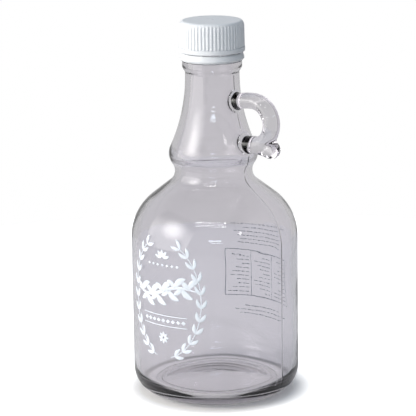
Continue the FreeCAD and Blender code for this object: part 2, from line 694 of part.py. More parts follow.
def make_band(doc, s):
    """The tamper-evident band, which stands just over the collar; its bridges reach up to the cap."""
    body = new_body(doc, "tamper_band")
    body.setExpression("Placement.Base.z", f"{COLLAR_TOP} + Sizes.seat_clearance")
    revolve(body, "PartDesign::Revolution", band_sketch(body, s), "Ring")
    doc.recompute()
    inner = band_inner_radius(s)
    outer = inner + s.band_wall
    sketch = rectangle(body, "BridgeSection", f"Sizes.band_height - {OVERLAP}", (inner, outer),
                       s.bridge_width, "Sizes.bridge_width")
    inset = "(Sizes.band_wall / 4)"
    drive(sketch, "DistanceX", (0, 1), f"{BAND_INNER} + {inset}")
    drive(sketch, "DistanceX", (0, 2), f"{BAND_INNER} + Sizes.band_wall - {inset}")
    bridge = pad(body, sketch, "Bridge", f"Sizes.bridge_gap + {OVERLAP}")
    pattern(body, bridge, "Bridges", "Sizes.bridge_count")
    doc.recompute()
    return body


class Values:
    """The sheet's cells as plain numbers."""

    def __init__(self, sheet):
        for alias in SIZES:
            setattr(self, alias, float(sheet.get(alias)))


def check(doc, bodies):
    """Stops the build at any failed object and at any sub-part that isn't one valid solid."""
    failed = [obj.Name for obj in doc.Objects if {"Invalid", "Error"} & set(obj.State)]
    if failed:
        raise RuntimeError(f"failed objects: {failed}")
    for body in bodies:
        shape = body.Shape
        if shape.isNull() or not shape.isValid() or len(shape.Solids) != 1:
            raise RuntimeError(f"{body.Label} is not one valid solid")
        box = shape.BoundBox
        print(f"{body.Label}: {shape.Volume / 1000:.2f} cm3, x {box.XMin:.2f} to {box.XMax:.2f}, "
              f"z {box.ZMin:.2f} to {box.ZMax:.2f}")


def main():
    doc = FreeCAD.newDocument("GlassJug")
    s = Values(fill_sheet(doc))
    bodies = [make_jug(doc, s), make_cap(doc, s), make_band(doc, s)]
    doc.recompute()
    check(doc, bodies)
    os.makedirs("parts", exist_ok=True)
    for body in bodies:
        body.Shape.exportStep(f"parts/{body.Label}.step")


main()
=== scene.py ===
import math

import bmesh
import bpy
import numpy as np
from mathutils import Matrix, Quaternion, Vector


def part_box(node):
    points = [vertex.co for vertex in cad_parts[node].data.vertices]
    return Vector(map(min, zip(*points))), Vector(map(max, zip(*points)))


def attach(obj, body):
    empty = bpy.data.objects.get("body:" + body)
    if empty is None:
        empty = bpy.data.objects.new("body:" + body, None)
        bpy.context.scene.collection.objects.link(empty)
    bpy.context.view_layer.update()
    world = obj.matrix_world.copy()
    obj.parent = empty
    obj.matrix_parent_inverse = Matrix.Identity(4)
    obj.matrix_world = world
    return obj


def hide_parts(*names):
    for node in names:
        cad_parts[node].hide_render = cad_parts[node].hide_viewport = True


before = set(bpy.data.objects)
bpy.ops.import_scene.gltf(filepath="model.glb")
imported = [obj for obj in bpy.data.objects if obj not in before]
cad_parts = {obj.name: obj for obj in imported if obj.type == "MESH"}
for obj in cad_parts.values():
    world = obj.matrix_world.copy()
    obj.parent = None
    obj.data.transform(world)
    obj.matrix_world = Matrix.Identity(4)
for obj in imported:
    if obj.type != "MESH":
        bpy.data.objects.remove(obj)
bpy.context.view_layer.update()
print("frame loaded:", ", ".join(sorted(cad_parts)))

mm = 0.001
quarter = math.pi / 2
linkObject = bpy.context.scene.collection.objects.link
glassLow, glassHigh = [np.array(corner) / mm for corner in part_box("jug_glass")]
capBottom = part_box("screw_cap")[0][2] / mm
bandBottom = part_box("tamper_band")[0][2] / mm


cameraView = {
    "azimuth": 38.5,      # degrees round the jug, from its printed front towards the handle
    "elevation": 13.64,
    "distance": 1155.2,   # mm
    "lens": 193.98,
    "aimSide": -3.185,    # mm to the right of the axis
    "aimHeight": 96.075,  # mm
    "roll": -0.86,        # degrees
    "sensor": 36,         # mm
    "farthest": 20,       # metres
}


# the way out from the jug: turn is in degrees to the right of the camera, rise in degrees up
def awayAt(turn, rise):
    turn = math.radians(cameraView["azimuth"] + turn)
    rise = math.radians(rise)
    return Vector((math.sin(turn) * math.cos(rise), -math.cos(turn) * math.cos(rise), math.sin(rise)))


def makeCamera():
    view = cameraView
    turn = math.radians(view["azimuth"])
    right = Vector((math.cos(turn), math.sin(turn), 0))
    back = awayAt(0, view["elevation"])
    aim = right * view["aimSide"] + Vector((0, 0, glassLow[2] + view["aimHeight"]))
    data = bpy.data.cameras.new("jugCamera")
    data.lens = view["lens"]
    data.sensor_width = view["sensor"]
    data.clip_end = view["farthest"]
    camera = bpy.data.objects.new("jugCamera", data)
    camera.location = (aim + back * view["distance"]) * mm
    camera.rotation_mode = "QUATERNION"
    roll = Quaternion((0, 0, 1), math.radians(view["roll"]))
    camera.rotation_quaternion = back.to_track_quat("Z", "Y") @ roll
    linkObject(camera)
    bpy.context.scene.camera = camera


makeCamera()


# A surface is its points in mm, an array of quads and an array of triangles.
noQuads = np.zeros((0, 4), int)
noTriangles = np.zeros((0, 3), int)


def unit(vectors):
    return vectors / np.linalg.norm(vectors, axis=-1, keepdims=True)


def evenAngles(count):
    return np.linspace(0, 2 * math.pi, count, endpoint=False)


# points from their radius, angle and height: (r cos angle, r sin angle, height)
def roundPoints(r, angle, z):
    return np.stack(np.broadcast_arrays(r * np.cos(angle), r * np.sin(angle), z), axis=-1)


# rows of radius and height turned about the axis, with more to add to the radius
def turned(rows, angles, more=0):
    return roundPoints(rows[:, :1] + more, angles, rows[:, 1:])


# rises from 0 at the start to 1 over a length; with a negative length it falls from 1 to 0 at the start
def ramp(value, start, length):
    return np.clip((value - start) / length, 0, 1)


# a grid of rows and columns, each row closed into a ring; a hole is its first and last row, and how many
# columns it takes up on each side of the first column
def gridSurface(points, holes=()):
    rows, columns = points.shape[:2]
    number = np.arange(rows * columns).reshape(rows, columns)
    number = np.concatenate([number, number[:, :1]], axis=1)
    quads = np.stack([number[:-1, :-1], number[:-1, 1:], number[1:, 1:], number[1:, :-1]], axis=-1)
    keep = np.ones(quads.shape[:2], bool)
    for low, high, half in holes:
        keep[low:high, :half] = False
        keep[low:high, columns - half:] = False
    return points.reshape(-1, 3), quads[keep], noTriangles


# closes a ring with a fan of triangles to one middle point
def poleSurface(ring, middle):
    count = len(ring)
    here = np.arange(count)
    fan = np.column_stack([here, np.roll(here, -1), np.full(count, count)])
    return np.vstack([ring, middle]), noQuads, fan


# rings in a row, with a fan over each end
def tubeSurfaces(rings):
    return [gridSurface(rings)] + [poleSurface(ring, ring.mean(0)) for ring in (rings[0], rings[-1])]


# joins two rings that have different counts: their angles are sorted together, and each step from one angle
# to the next adds the triangle between the point passed on one ring and the last point on the other
def zipSurface(ringA, anglesA, ringB, anglesB):
    countA, countB = len(ringA), len(ringB)
    order = np.argsort(np.concatenate([anglesA, anglesB + 1e-9]), kind="stable")
    fromA = order < countA
    passedA = np.cumsum(fromA)
    passedB = np.cumsum(~fromA)
    beforeA = (passedA - 1) % countA
    beforeB = (passedB - 1) % countB
    last = np.where(fromA, (passedA - 2) % countA, (passedB - 2) % countB)
    stepA = np.column_stack([last, beforeA, countA + beforeB])
    stepB = np.column_stack([countA + last, countA + beforeB, beforeA])
    triangles = np.where(fromA[:, None], stepA, stepB)
    return np.vstack([ringA, ringB]), noQuads, triangles


def joinSurfaces(surfaces):
    shift = np.cumsum([0] + [len(points) for points, quads, triangles in surfaces])
    points = np.vstack([surface[0] for surface in surfaces])
    quads = np.vstack([surface[1] + start for surface, start in zip(surfaces, shift)])
    triangles = np.vstack([surface[2] + start for surface, start in zip(surfaces, shift)])
    return points, quads, triangles


# puts joined surfaces into one mesh, lift mm up, merges the edges they share and turns all faces outwards
def makePiece(name, surfaces, material, lift=0.0):
    points, quads, triangles = joinSurfaces(surfaces)
    points = points + np.array([0, 0, lift])
    corners = np.concatenate([quads.ravel(), triangles.ravel()])
    sizes = np.concatenate([np.full(len(quads), 4), np.full(len(triangles), 3)])
    starts = np.cumsum(sizes) - sizes
    mesh = bpy.data.meshes.new(name)
    mesh.vertices.add(len(points))
    mesh.vertices.foreach_set("co", (points * mm).astype(np.float32).ravel())
    mesh.loops.add(len(corners))
    mesh.loops.foreach_set("vertex_index", corners.astype(np.int32))
    mesh.polygons.add(len(sizes))
    mesh.polygons.foreach_set("loop_start", starts.astype(np.int32))
    mesh.update(calc_edges=True)
    work = bmesh.new()
    work.from_mesh(mesh)
    bmesh.ops.remove_doubles(work, verts=work.verts, dist=1e-6)
    bmesh.ops.recalc_face_normals(work, faces=work.faces)
    openEdges = sum(1 for edge in work.edges if not edge.is_manifold)
    work.to_mesh(mesh)
    work.free()
    mesh.polygons.foreach_set("use_smooth", np.ones(len(mesh.polygons), bool))
    piece = bpy.data.objects.new(name, mesh)
    piece.data.materials.append(material)
    linkObject(piece)
    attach(piece, "root")
    print(f"{name}: {len(mesh.vertices)} points, {len(mesh.polygons)} faces, {openEdges} open edges")
    return piece


def newMaterial(name):
    material = bpy.data.materials.new(name)
    material.use_nodes = True
    tree = material.node_tree
    return material, tree, tree.nodes["Principled BSDF"]


# each input is given a value or another node's socket
def setInputs(tree, node, inputs):
    for name, value in inputs.items():
        if isinstance(value, bpy.types.NodeSocket):
            tree.links.new(value, node.inputs[name])
        else:
            node.inputs[name].default_value = value


def addNode(tree, kind, inputs=None, **settings):
    node = tree.nodes.new("ShaderNode" + kind)
    for name, value in settings.items():
        setattr(node, name, value)
    setInputs(tree, node, inputs or {})
    return node


def mathNode(tree, operation, first, second):
    return addNode(tree, "Math", {0: first, 1: second}, operation=operation).outputs[0]


unevenSockets = {
    "Wave Scale": "waveScale", "Grain Scale": "grainScale", "Grain": "grain",
    "Roughness": "roughness", "Roughness Spread": "roughSpread", "Tone Spread": "toneSpread",
}


# one effect for every surface: a soft wave and a fine grain from two noises, given out as a height,
# and a tone and a roughness that wander a little with the same noises
def makeUneven():
    group = bpy.data.node_groups.new("uneven", "ShaderNodeTree")
    face = group.interface
    face.new_socket("Vector", in_out="INPUT", socket_type="NodeSocketVector")
    for name in unevenSockets:
        face.new_socket(name, in_out="INPUT", socket_type="NodeSocketFloat")
    for name in ("Height", "Roughness", "Tone"):
        face.new_socket(name, in_out="OUTPUT", socket_type="NodeSocketFloat")
    given = group.nodes.new("NodeGroupInput").outputs
    wanted = group.nodes.new("NodeGroupOutput")
    noises = []
    for size, detail in (("Wave Scale", 2.0), ("Grain Scale", 4.0)):
        noise = {"Vector": given["Vector"], "Scale": given[size], "Detail": detail}
        noises.append(addNode(group, "TexNoise", noise).outputs["Fac"])
    wave, grain = noises
    both = mathNode(group, "ADD", mathNode(group, "ADD", wave, grain), -1.0)
    rough = mathNode(group, "MULTIPLY", both, given["Roughness Spread"])
    rough = mathNode(group, "ADD", rough, given["Roughness"])
    tone = mathNode(group, "MULTIPLY", both, given["Tone Spread"])
    setInputs(group, wanted, {
        "Height": mathNode(group, "ADD", wave, mathNode(group, "MULTIPLY", grain, given["Grain"])),
        "Roughness": mathNode(group, "MAXIMUM", rough, 0.0),
        "Tone": mathNode(group, "ADD", tone, 1.0),
    })
    return group


unevenGroup = makeUneven()


# gives a shader the uneven colour, roughness and bump of a look, whose scales are per metre and bump in mm
def addUneven(tree, shader, look):
    given = {socket: look[part] for socket, part in unevenSockets.items()}
    given["Vector"] = addNode(tree, "TexCoord").outputs["Object"]
    uneven = addNode(tree, "Group", given, node_tree=unevenGroup).outputs
    colour = addNode(tree, "VectorMath", {0: look["colour"], "Scale": uneven["Tone"]}, operation="SCALE")
    bump = addNode(tree, "Bump", {"Distance": look["bump"] * mm, "Height": uneven["Height"]})
    setInputs(tree, shader, {
        "Base Color": colour.outputs["Vector"],
        "Roughness": uneven["Roughness"],
        "Normal": bump.outputs["Normal"],
    })


glassLook = {
    "colour": (0.975, 0.96, 0.99),
    "ior": 1.5,
    "depthColour": (0.47, 0.445, 0.50),
    "depth": 23.0,          # how fast thick glass darkens towards that colour, per metre
    "shadow": (0.30, 0.30, 0.31),  # how much light each wall lets through to the floor
    "roughness": 0.0,
    "roughSpread": 0.015,
    "toneSpread": 0.01,
    "waveScale": 45.0,
    "grainScale": 160.0,
    "grain": 0.12,
    "bump": 0.16,
}
capLook = {
    "colour": (0.80, 0.81, 0.82),
    "roughness": 0.42,
    "roughSpread": 0.16,
    "toneSpread": 0.03,
    "waveScale": 150.0,
    "grainScale": 2600.0,
    "grain": 0.35,
    "bump": 0.06,
}
bandLook = {
    **capLook,              # the same plastic, a little smoother
    "roughness": 0.38,
    "roughSpread": 0.14,
    "waveScale": 180.0,
    "grainScale": 2200.0,
    "grain": 0.3,
    "bump": 0.05,
}
printLook = {
    "colour": (0.80, 0.84, 0.89),
    "roughness": 0.5,
    "roughSpread": 0.2,
    "toneSpread": 0.14,
    "waveScale": 120.0,
    "grainScale": 1500.0,
    "grain": 0.8,
    "bump": 0.03,
}


# shadow rays see a pale filter in place of the glass, so that light reaches the floor
def clearGlass():
    look = glassLook
    material, tree, shader = newMaterial("clearGlass")
    setInputs(tree, shader, {"IOR": look["ior"], "Transmission Weight": 1.0})
    addUneven(tree, shader, look)
    clear = addNode(tree, "BsdfTransparent", {"Color": (*look["shadow"], 1)})
    isShadow = addNode(tree, "LightPath").outputs["Is Shadow Ray"]
    mix = addNode(tree, "MixShader", {"Fac": isShadow, 1: shader.outputs["BSDF"], 2: clear.outputs["BSDF"]})
    depth = addNode(tree, "VolumeAbsorption", {"Color": (*look["depthColour"], 1), "Density": look["depth"]})
    ends = {"Surface": mix.outputs["Shader"], "Volume": depth.outputs["Volume"]}
    setInputs(tree, tree.nodes["Material Output"], ends)
    return material


def opaqueLook(name, look):
    material, tree, shader = newMaterial(name)
    addUneven(tree, shader, look)
    return material


glassMaterial = clearGlass()
capMaterial = opaqueLook("capPlastic", capLook)
bandMaterial = opaqueLook("bandPlastic", bandLook)
printMaterial = opaqueLook("whiteEnamel", printLook)
print("materials made")


jugShape = {
    "bodyRadius": glassHigh[0] - 0.08,  # the printed layer fits in what is left of the box
    "heelRounding": 12.5,
    "footInner": 27.5,
    "pushUp": 3.2,
    "shoulderStart": 81.5,
    "shoulderRounding": 27.5,
    "slopeAngle": 51.8,
    "waistRadius": 19.9,
    "waistRounding": 7.1,
    "bulgeRadius": 22.8,
    "bulgeRounding": 8.7,
    "neckRadius": 13.85,
    "neckRounding": 88.0,
    "neckStraight": 2.3,
    "collarRadius": 15.25,
    "collarHeight": 4.8,
    "collarStep": 3.4,      # height over which the neck swells out to the collar
    "finishRadius": 13.3,
    "beadRadius": 0.9,
    "beadHeight": 3.0,
    "rimRounding": 0.8,
    "bodyWall": 2.5,
    "neckWall": 3.4,
    "baseThickness": 5.2,
    "floorDome": 200.0,
    "innerHeel": 8.0,
    "outerSway": 0.012,     # mm, the slow waves of blown glass
    "innerSway": 0.10,
    "columns": 196,
    "innerColumns": 160,
}
handleShape = {
    "loopX": 26.0,
    "loopRadius": 11.2,
    "upperBend": 40.0,
    "thickness": 8.0,
    "width": 10.2,
    "armRise": 7.0,         # from the middle of the bulge up to the lower arm
    "rootBlend": 3.8,
    "curlBlend": 2.0,
    "curlStart": 3.8,       # radius of the curl where it leaves the arm
    "curlEnd": 4.6,         # radius of its ball
    "curlX": 37.1,
    "curlDrop": 1.4,
    "startX": 25.0,         # where the plain rod starts, beside the body
    "endX": 19.5,
    "rodRows": 55,
    "lowerHole": (-7.2, 7.6, 23),    # rows of the skin round the lower root: mm from the arm, and how many
    "upperHole": (12.0, 28.8, 15),
    "holeHalves": (14, 18),     # columns that these two holes take up on each side of the seam
    "curlHole": (2, 20, 20),    # the curl's hole in the rod
    "curlHeart": (31.0, 0.4),   # a place inside the curl, mm from the axis and above the arm
    "rootReach": 12,            # mm, how far past the rod's ends the roots look for the body
    "upperDrop": 1.2,           # mm, how far under the loop's top the middle of the upper root is
}
seamShape = {
    "height": 0.2,
    "width": 0.26,
    "low": 3.0,             # where it starts above the foot
    "bodyDepth": 0.22,      # how deep it is sunk on the body
    "bodyBelow": 15,        # how far under the lower arm the body's seam starts
    "farShare": 0.35,       # its share on the side away from the handle
    "steps": 18,            # columns beside the seam, from the shortest step in degrees to the longest
    "shortStep": 0.285,
    "longStep": 2.94,
    "growth": 6.86,
}
footShape = {"bars": 120, "depth": 0.7, "inner": 27.9, "columns": 960}


# an arc as points about step apart, from one angle to the other
def arcPoints(centre, radius, first, last, step):
    count = max(2, int(math.ceil(abs(last - first) * radius / step)) + 1)
    angle = np.linspace(first, last, count)
    return np.column_stack([centre[0] + radius * np.cos(angle), centre[1] + radius * np.sin(angle)])


def linePoints(start, end, step):
    count = max(2, int(math.ceil(math.dist(start, end) / step)) + 1)
    share = np.linspace(0, 1, count)[:, None]
    return np.array(start) * (1 - share) + np.array(end) * share


# the arcs from the top of the straight body to the neck, each touching the next; wall is how far inside the
# outer skin the outline lies up to the slope, and throatWall above it
def flowPoints(wall, throatWall, step):
    s = jugShape
    lean = math.radians(s["slopeAngle"])
    out = np.array([math.cos(lean), math.sin(lean)])
    shoulder = np.array([s["bodyRadius"] - s["shoulderRounding"], s["shoulderStart"]])
    shoulderR = s["shoulderRounding"] - wall
    waistR = s["waistRounding"] + throatWall
    bulgeR = s["bulgeRounding"] - throatWall
    neckR = s["neckRounding"] + throatWall
    waistX = s["waistRadius"] + s["waistRounding"]
    waistZ = shoulder[1] + (shoulderR + waistR - out[0] * (waistX - shoulder[0])) / out[1]
    bulgeX = s["bulgeRadius"] - s["bulgeRounding"]
    bulgeZ = waistZ + math.sqrt((waistR + bulgeR) ** 2 - (waistX - bulgeX) ** 2)
    neckX = s["neckRadius"] + s["neckRounding"]
    neckZ = bulgeZ + math.sqrt((neckR + bulgeR) ** 2 - (neckX - bulgeX) ** 2)
    toBulge = math.atan2(bulgeZ - waistZ, bulgeX - waistX)
    toNeck = math.atan2(neckZ - bulgeZ, neckX - bulgeX)
    slopeStart = shoulder + shoulderR * out
    slopeEnd = np.array([waistX, waistZ]) - waistR * out
    points = [
        arcPoints(shoulder, shoulderR, 0, lean, step[0]),
        linePoints(slopeStart, slopeEnd, step[0])[1:],
        arcPoints((waistX, waistZ), waistR, lean + math.pi, toBulge, step[1])[1:],
        arcPoints((bulgeX, bulgeZ), bulgeR, toBulge - math.pi, toNeck, step[1])[1:],
        arcPoints((neckX, neckZ), neckR, toNeck + math.pi, math.pi, step[2])[1:],
    ]
    return np.vstack(points), bulgeZ, neckZ


outerTable, bulgeZ, neckZ = flowPoints(0, 0, (0.05, 0.02, 0.05))
outerTable = outerTable[outerTable[:, 1] > bulgeZ - 10]
tableSlope = np.gradient(outerTable[:, 0], outerTable[:, 1])
armZ = bulgeZ + handleShape["armRise"]
loopZ = armZ + handleShape["loopRadius"]


def neckRadiusAt(z):
    return np.interp(z, outerTable[:, 1], outerTable[:, 0], right=jugShape["neckRadius"])


# rows of the outer skin from the heel up to the mouth; the rows beside the handle are set by height, and
# the step out to the collar is a smoothstep of height
def outerRows():
    s = jugShape
    r = s["bodyRadius"]
    heel = arcPoints((r - s["heelRounding"], s["heelRounding"]), s["heelRounding"], -quarter + 0.13, 0, 0.9)
    wall = linePoints((r, s["heelRounding"]), (r, s["shoulderStart"]), 3.0)[1:]
    flow = flowPoints(0, 0, (1.05, 0.55, 1.1))[0][1:]
    under = neckZ + s["neckStraight"]
    collar = s["collarRadius"]
    top = under + s["collarHeight"]
    finish = s["finishRadius"]
    bead = top + s["beadHeight"]
    rim = glassHigh[2]
    rimEdge = (finish - s["rimRounding"], rim - s["rimRounding"])
    share = np.linspace(0, 1, 13)
    step = np.column_stack([
        s["neckRadius"] + (collar - s["neckRadius"]) * share * share * (3 - 2 * share),
        under + s["collarStep"] * (share - 0.4),
    ])
    above = [
        linePoints((s["neckRadius"], under - 1.8), (s["neckRadius"], step[0, 1] - 0.15), 0.4),
        step,
        linePoints((collar, step[-1, 1] + 0.3), (collar, top - 0.12), 0.6),
        linePoints((collar, top), (finish, top), 0.4),
        linePoints((finish, top + 0.1), (finish, bead - s["beadRadius"]), 0.7),
        arcPoints((finish, bead), s["beadRadius"], -quarter, quarter, 0.3)[1:],
        linePoints((finish, bead + s["beadRadius"] + 0.3), (finish, rimEdge[1] - 0.1), 0.45),
        arcPoints(rimEdge, s["rimRounding"], 0, quarter, 0.3),
    ]
    rows = np.vstack([heel, wall, flow])
    lower, upper = [armZ + np.linspace(*handleShape[hole]) for hole in ("lowerHole", "upperHole")]
    between = np.linspace(lower[-1], upper[0], 6)[1:-1]
    heights = np.concatenate([lower, between, upper])
    beside = np.column_stack([neckRadiusAt(heights), heights])
    low = rows[rows[:, 1] < lower[0] - 0.3]
    high = rows[rows[:, 1] > upper[-1] + 0.5]
    first = len(low)
    second = first + len(lower) + len(between)
    lowerHalf, upperHalf = handleShape["holeHalves"]
    holes = ((first, first + len(lower) - 1, lowerHalf), (second, second + len(upper) - 1, upperHalf))
    return np.vstack([low, beside, high] + above), holes


# the column angles: the first steps from the seam at the handle are short and grow to wide ones as
# 1 - exp(-(number / growth) to the power 2.2), the rest of the quarter is even, and it is mirrored twice
def columnAngles():
    s = seamShape
    number = np.arange(s["steps"])
    rise = 1 - np.exp(-(number / s["growth"]) ** 2.2)
    close = np.concatenate([[0], np.cumsum(s["shortStep"] + (s["longStep"] - s["shortStep"]) * rise)])
    rest = np.linspace(close[-1], 90, jugShape["columns"] // 4 - len(close) + 2)[1:]
    side = np.concatenate([close, rest])
    half = np.concatenate([side, 180 - side[-2::-1]])
    return np.radians(np.concatenate([half, 360 - half[-2:0:-1]]))


# how far a point is outside the plain body of revolution near the neck, to first order
def bodyGap(points):
    r = np.hypot(points[..., 0], points[..., 1])
    lean = np.interp(points[..., 2], outerTable[:, 1], tableSlope)
    return (r - neckRadiusAt(points[..., 2])) / np.sqrt(1 + lean ** 2)


# how far a point is outside the oval rod: its offset from the path in the handle's plane and its offset
# across it, each over its own half size, give the oval's number q, and the gap is (q - 1) over q's slope
def rodGap(points):
    h = handleShape
    x, y, z = points[..., 0], points[..., 1], points[..., 2]
    loop = np.hypot(x - h["loopX"], z - loopZ) - h["loopRadius"]
    lower = armZ - z
    upper = np.hypot(x - h["loopX"], z - loopZ - h["loopRadius"] + h["upperBend"]) - h["upperBend"]
    inPlane = np.where(x >= h["loopX"], loop, np.where(z < loopZ, lower, upper))
    a, b = h["thickness"] / 2, h["width"] / 2
    q = np.sqrt((inPlane / a) ** 2 + (y / b) ** 2) + 1e-9
    slope = np.sqrt((inPlane / a ** 2) ** 2 + (y / b ** 2) ** 2) / q + 1e-9
    return (q - 1) / slope


# how far a point is outside the curl, a rod that grows from one radius to the other along a straight line
def curlGap(points):
    h = handleShape
    start = np.array([h["loopX"], 0, armZ])
    along = np.array([h["curlX"], 0, armZ - h["curlDrop"]]) - start
    share = np.clip((points - start) @ along / (along @ along), 0, 1)
    nearest = start + share[..., None] * along
    radius = h["curlStart"] + share * (h["curlEnd"] - h["curlStart"])
    return np.linalg.norm(points - nearest, axis=-1) - radius


# the smaller of two gaps, rounded where they are about equal
def softUnion(one, other, width):
    share = np.clip(0.5 + 0.5 * (other - one) / width, 0, 1)
    return other * (1 - share) + one * share - width * share * (1 - share)


def glassGap(points):
    rod = softUnion(rodGap(points), curlGap(points), handleShape["curlBlend"])
    return softUnion(bodyGap(points), rod, handleShape["rootBlend"])


# moves points onto the glass's skin, a few steps along the gap's slope
def ontoGlass(points, steps=7):
    tiny = 1e-3
    for _ in range(steps):
        ahead, behind = [[glassGap(points + way * axis) for axis in np.eye(3)] for way in (tiny, -tiny)]
        slope = (np.stack(ahead, axis=-1) - np.stack(behind, axis=-1)) / (2 * tiny)
        size = np.maximum((slope ** 2).sum(-1, keepdims=True), 0.05)
        points = points - glassGap(points)[..., None] * slope / size
    return points


# the rod's surface: length along its path and angle round it, 0 on the outer side of the loop
def rodPoint(length, angle):
    h = handleShape
    toLoop = h["loopX"] - h["startX"]
    turn = (length - toLoop) / h["loopRadius"]
    loopEnd = toLoop + math.pi * h["loopRadius"]
    lean = (length - loopEnd) / h["upperBend"]
    bend = h["upperBend"]
    topZ = loopZ + h["loopRadius"]
    pieces = [length < toLoop, length < loopEnd]
    x = np.select(pieces, [h["startX"] + length, h["loopX"] + h["loopRadius"] * np.sin(turn)],
                  h["loopX"] - bend * np.sin(lean))
    z = np.select(pieces, [armZ + 0 * length, loopZ - h["loopRadius"] * np.cos(turn)],
                  topZ - bend + bend * np.cos(lean))
    outX = np.select(pieces, [0 * length, np.sin(turn)], -np.sin(lean))
    outZ = np.select(pieces, [-1 + 0 * length, -np.cos(turn)], np.cos(lean))
    off = h["thickness"] / 2 * np.cos(angle)
    return np.stack([x + off * outX, h["width"] / 2 * np.sin(angle), z + off * outZ], axis=-1)


# the points round a hole in the grid, starting at the middle of its outer edge and going towards +Y
def holeRing(grid, hole, upward):
    low, high, half = hole
    near, far = (high, low) if upward else (low, high)
    columns = np.arange(-half, half + 1)
    side = np.arange(near, far, 1 if far > near else -1)
    parts = [
        grid[near, np.arange(0, half)],
        grid[side, half],
        grid[far, columns[:0:-1]],
        grid[side[::-1] + (1 if far > near else -1), -half],
        grid[near, np.arange(-half, 0)],
    ]
    return np.vstack(parts)


# the angle round the rod that each point of a hole's ring stands at
def ringAngles(ring, middleZ, upward):
    h = handleShape
    rise = (ring[:, 2] - middleZ) * (1 if upward else -1)
    return np.unwrap(np.arctan2(ring[:, 1] / h["width"], rise / h["thickness"]))


# a flared root: each line runs from the hole's edge to the rod's first ring, pulled towards where rod and
# body would meet, and is then moved onto the skin
def rootSurface(ring, rodRing, lengths, angles, rows=15):
    inside, outside = lengths
    near = np.full(len(ring), float(outside))
    deep = np.full(len(ring), float(inside))
    for _ in range(30):
        middle = (near + deep) / 2
        out = bodyGap(rodPoint(middle, angles)) > 0
        near = np.where(out, middle, near)
        deep = np.where(out, deep, middle)
    meet = rodPoint(near, angles)
    w = np.linspace(0, 1, rows)[:, None, None]
    lines = (1 - w) ** 2 * ring + 2 * w * (1 - w) * meet + w ** 2 * rodRing
    lines[1:-1] = ontoGlass(lines[1:-1])
    return gridSurface(lines)


# the curl's skin, found from a point inside it: rays swing from the edge of the hole in the rod to the
# curl's tip, and each stops where it leaves the glass
def curlSurface(edge, rows=17):
    h = handleShape
    heart = np.array([h["curlHeart"][0], 0, armZ + h["curlHeart"][1]])
    tip = unit(np.array([h["curlX"] + h["curlEnd"], 0, armZ - h["curlDrop"] - 1.0]) - heart)
    start = unit(edge - heart)
    between = np.arccos(np.clip(start @ tip, -1, 1))[None, :, None]
    w = np.linspace(0, 1, rows)[:, None, None]
    rays = (np.sin((1 - w) * between) * start + np.sin(w * between) * tip) / np.sin(between)
    reach = np.zeros(rays.shape[:2])
    for _ in range(60):
        reach = reach - 0.9 * np.minimum(glassGap(heart + reach[..., None] * rays), 0)
    skin = ontoGlass(heart + reach[..., None] * rays, 3)
    skin[0] = edge
    return [gridSurface(skin[:-1]), poleSurface(skin[-2], skin[-1].mean(0))]


# the loop's rod as a grid of length and angle, whose angles turn evenly from one root's to the other's
def makeHandle(grid, holes):
    h = handleShape
    lowerRing = holeRing(grid, holes[0], False)
    upperRing = holeRing(grid, holes[1], True)
    total = h["loopX"] - h["startX"] + math.pi * h["loopRadius"]
    total += h["upperBend"] * math.asin((h["loopX"] - h["endX"]) / h["upperBend"])
    lowerAngles = ringAngles(lowerRing, armZ, False)
    upperAngles = ringAngles(upperRing, loopZ + h["loopRadius"] - h["upperDrop"], True)
    length = np.linspace(0, total, h["rodRows"])[:, None]
    share = length / total
    angles = (1 - share) * lowerAngles + share * upperAngles
    rod = ontoGlass(rodPoint(length + 0 * angles, angles))
    reach = h["rootReach"]
    roots = [
        rootSurface(lowerRing, rod[0], (-reach, 0), lowerAngles),
        rootSurface(upperRing, rod[-1], (total + reach, total), upperAngles),
    ]
    curl = curlSurface(holeRing(rod, h["curlHole"], False))
    return [gridSurface(rod, [h["curlHole"]])] + roots + curl


# thin mould seams in the handle's plane, raised on the neck and sunk on the body, and a slight unevenness
def finishOuter(points):
    x, y, z = points[:, 0], points[:, 1], points[:, 2]
    r = np.hypot(x, y)
    seam = seamShape["height"] * np.exp(-(y / seamShape["width"]) ** 2)
    away = ramp(r - neckRadiusAt(z), 0.1, 0.6)
    bodyZ = armZ - seamShape["bodyBelow"]
    seam = seam * np.where(z > bodyZ, 1 - away, 1)
    seam = seam * ramp(z, seamShape["low"], 3) * ramp(z, neckZ + 1.5, -1)
    seam = np.where(x < 0, seam * seamShape["farShare"], seam)
    onBody = ramp(z, bodyZ, -3)
    seam = seam * (1 - onBody * (1 + seamShape["bodyDepth"] / seamShape["height"]))
    angle = np.arctan2(y, x)
    sway = jugShape["outerSway"] * (np.sin(3 * angle + z / 9) + np.sin(2 * angle - z / 14 + 1))
    sway = sway * ramp(z, neckZ, -20) * ramp(z, 0, 10)
    grow = (r + seam + sway) / np.maximum(r, 1e-6)
    return np.column_stack([x * grow, y * grow, z])


# the bearing ring's short bars: the foot is let up between them
def footSurface(angles, inner, outer):
    s = jugShape
    r = s["bodyRadius"] - s["heelRounding"]
    flat = linePoints((footShape["inner"], 0), (r, 0), 0.45)
    turn = arcPoints((r, s["heelRounding"]), s["heelRounding"], -quarter, -quarter + 0.10, 0.4)[1:]
    rows = np.vstack([flat, turn])
    fine = evenAngles(footShape["columns"])
    points = turned(rows, fine)
    place = np.linspace(0, 1, len(rows))[:, None]
    window = np.clip(np.minimum(place, 1 - place) * 5, 0, 1)
    points[..., 2] += footShape["depth"] * window * (0.5 - 0.5 * np.cos(footShape["bars"] * fine))
    return [
        gridSurface(points),
        zipSurface(inner, angles, points[0], fine),
        zipSurface(points[-1], fine, outer, angles),
    ]


